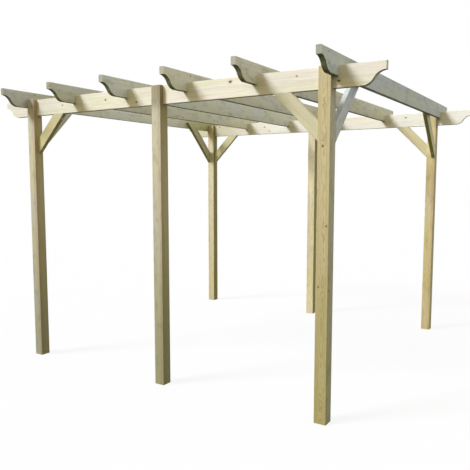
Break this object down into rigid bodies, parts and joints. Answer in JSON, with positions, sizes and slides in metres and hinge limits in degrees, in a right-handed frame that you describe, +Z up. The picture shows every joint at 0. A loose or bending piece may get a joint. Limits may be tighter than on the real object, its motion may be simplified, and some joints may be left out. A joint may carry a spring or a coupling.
{
  "type": "wooden pergola",
  "caption": "Free-standing timber pergola: square rebated posts carry beams crossed by notched rafters with scroll-cut ends, stiffened by knee braces at the corner posts.",
  "frame": {"origin": "on the ground, under the middle of the frame", "axes": "+X along the beams to the right seen from the front, +Y along the rafters from the front row of posts to the back row, +Z up"},
  "size_m": [3.69, 3.49, 2.475],
  "materials": {
    "post_timber": "planed, pressure-treated softwood",
    "beam_timber": "planed, pressure-treated softwood",
    "rafter_timber": "planed, pressure-treated softwood",
    "brace_timber": "planed, pressure-treated softwood"
  },
  "bodies": {
    "root": {"post_front_left": "post_timber", "post_front_middle": "post_timber", "post_front_right": "post_timber", "post_back_left": "post_timber", "post_back_middle": "post_timber", "post_back_right": "post_timber", "beam_front": "beam_timber", "beam_back": "beam_timber", "rafter_1": "rafter_timber", "rafter_2": "rafter_timber", "rafter_3": "rafter_timber", "rafter_4": "rafter_timber", "rafter_5": "rafter_timber", "rafter_6": "rafter_timber", "brace_beam_front_left": "brace_timber", "brace_beam_front_right": "brace_timber", "brace_beam_back_left": "brace_timber", "brace_beam_back_right": "brace_timber", "brace_rafter_front_left": "brace_timber", "brace_rafter_front_right": "brace_timber", "brace_rafter_back_left": "brace_timber", "brace_rafter_back_right": "brace_timber"}
  },
  "joints": []
}
